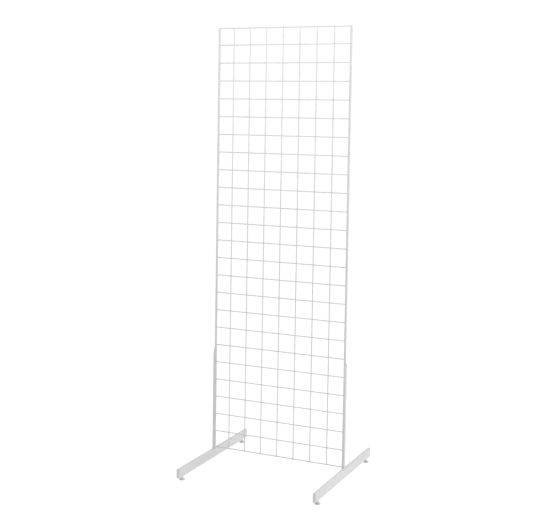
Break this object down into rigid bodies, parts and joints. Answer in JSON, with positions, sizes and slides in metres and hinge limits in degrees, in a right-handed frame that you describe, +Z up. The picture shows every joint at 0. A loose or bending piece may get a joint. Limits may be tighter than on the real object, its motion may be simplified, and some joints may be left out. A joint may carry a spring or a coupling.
{
  "type": "grid panel partition",
  "caption": "Free-standing wire grid partition panel that slots into two T-shaped legs with levelling glides.",
  "frame": {"origin": "on the floor, midway between the two legs, in the plane of the panel's side rails", "axes": "+X along the panel to the right, +Y to the rear along the foot bars, +Z up"},
  "size_m": [0.631, 0.635, 1.8829],
  "materials": {
    "coated_steel": "white powder coat, satin",
    "zinc": "bright zinc plate",
    "cap_plastic": "moulded, matt",
    "pad_plastic": "moulded, matt"
  },
  "bodies": {
    "left_leg": {"left_foot_bar": "coated_steel", "left_post": "coated_steel", "left_front_cap": "cap_plastic", "left_front_insert": "zinc", "left_rear_cap": "cap_plastic", "left_rear_insert": "zinc"},
    "panel": {"left_rail": "coated_steel", "right_rail": "coated_steel", "top_wire": "coated_steel", "bottom_wire": "coated_steel", "upright_wire_1": "coated_steel", "upright_wire_2": "coated_steel", "upright_wire_3": "coated_steel", "upright_wire_4": "coated_steel", "upright_wire_5": "coated_steel", "upright_wire_6": "coated_steel", "upright_wire_7": "coated_steel", "cross_wire_01": "coated_steel", "cross_wire_02": "coated_steel", "cross_wire_03": "coated_steel", "cross_wire_04": "coated_steel", "cross_wire_05": "coated_steel", "cross_wire_06": "coated_steel", "cross_wire_07": "coated_steel", "cross_wire_08": "coated_steel", "cross_wire_09": "coated_steel", "cross_wire_10": "coated_steel", "cross_wire_11": "coated_steel", "cross_wire_12": "coated_steel", "cross_wire_13": "coated_steel", "cross_wire_14": "coated_steel", "cross_wire_15": "coated_steel", "cross_wire_16": "coated_steel", "cross_wire_17": "coated_steel", "cross_wire_18": "coated_steel", "cross_wire_19": "coated_steel", "cross_wire_20": "coated_steel", "cross_wire_21": "coated_steel", "cross_wire_22": "coated_steel", "cross_wire_23": "coated_steel"},
    "right_leg": {"right_foot_bar": "coated_steel", "right_post": "coated_steel", "right_front_cap": "cap_plastic", "right_front_insert": "zinc", "right_rear_cap": "cap_plastic", "right_rear_insert": "zinc"},
    "left_front_pad": {"left_front_pad": "pad_plastic"},
    "left_front_stem": {"left_front_stem": "zinc"},
    "left_rear_pad": {"left_rear_pad": "pad_plastic"},
    "left_rear_stem": {"left_rear_stem": "zinc"},
    "right_front_pad": {"right_front_pad": "pad_plastic"},
    "right_front_stem": {"right_front_stem": "zinc"},
    "right_rear_pad": {"right_rear_pad": "pad_plastic"},
    "right_rear_stem": {"right_rear_stem": "zinc"}
  },
  "joints": [
    {"name": "panel_lift", "type": "slide", "parent": "left_leg", "child": "panel", "axis": [0, 0, 1], "range_m": [0, 0.48]},
    {"name": "right_leg_slide", "type": "slide", "parent": "panel", "child": "right_leg", "axis": [0, 0, 1], "range_m": [-0.48, 0]},
    {"name": "left_front_pad_height", "type": "slide", "parent": "left_leg", "child": "left_front_pad", "axis": [0, 0, 1], "range_m": [-0.012, 0.0064]},
    {"name": "left_front_stem_turn", "type": "hinge", "parent": "left_front_pad", "child": "left_front_stem", "pos_m": [-0.30302, -0.2795, 0], "axis": [0, 0, 1], "range_deg": [-4321, 2305]},
    {"name": "left_rear_pad_height", "type": "slide", "parent": "left_leg", "child": "left_rear_pad", "axis": [0, 0, 1], "range_m": [-0.012, 0.0064]},
    {"name": "left_rear_stem_turn", "type": "hinge", "parent": "left_rear_pad", "child": "left_rear_stem", "pos_m": [-0.30302, 0.2795, 0], "axis": [0, 0, 1], "range_deg": [-4321, 2305]},
    {"name": "right_front_pad_height", "type": "slide", "parent": "right_leg", "child": "right_front_pad", "axis": [0, 0, 1], "range_m": [-0.012, 0.0064]},
    {"name": "right_front_stem_turn", "type": "hinge", "parent": "right_front_pad", "child": "right_front_stem", "pos_m": [0.30302, -0.2795, 0], "axis": [0, 0, 1], "range_deg": [-4321, 2305]},
    {"name": "right_rear_pad_height", "type": "slide", "parent": "right_leg", "child": "right_rear_pad", "axis": [0, 0, 1], "range_m": [-0.012, 0.0064]},
    {"name": "right_rear_stem_turn", "type": "hinge", "parent": "right_rear_pad", "child": "right_rear_stem", "pos_m": [0.30302, 0.2795, 0], "axis": [0, 0, 1], "range_deg": [-4321, 2305]}
  ],
  "couplings": [
    {"joint": "right_leg_slide", "follows": "panel_lift", "ratio": -1},
    {"joint": "left_front_stem_turn", "follows": "left_front_pad_height", "rad_per_m": 6283.2},
    {"joint": "left_rear_stem_turn", "follows": "left_rear_pad_height", "rad_per_m": 6283.2},
    {"joint": "right_front_stem_turn", "follows": "right_front_pad_height", "rad_per_m": 6283.2},
    {"joint": "right_rear_stem_turn", "follows": "right_rear_pad_height", "rad_per_m": 6283.2}
  ]
}
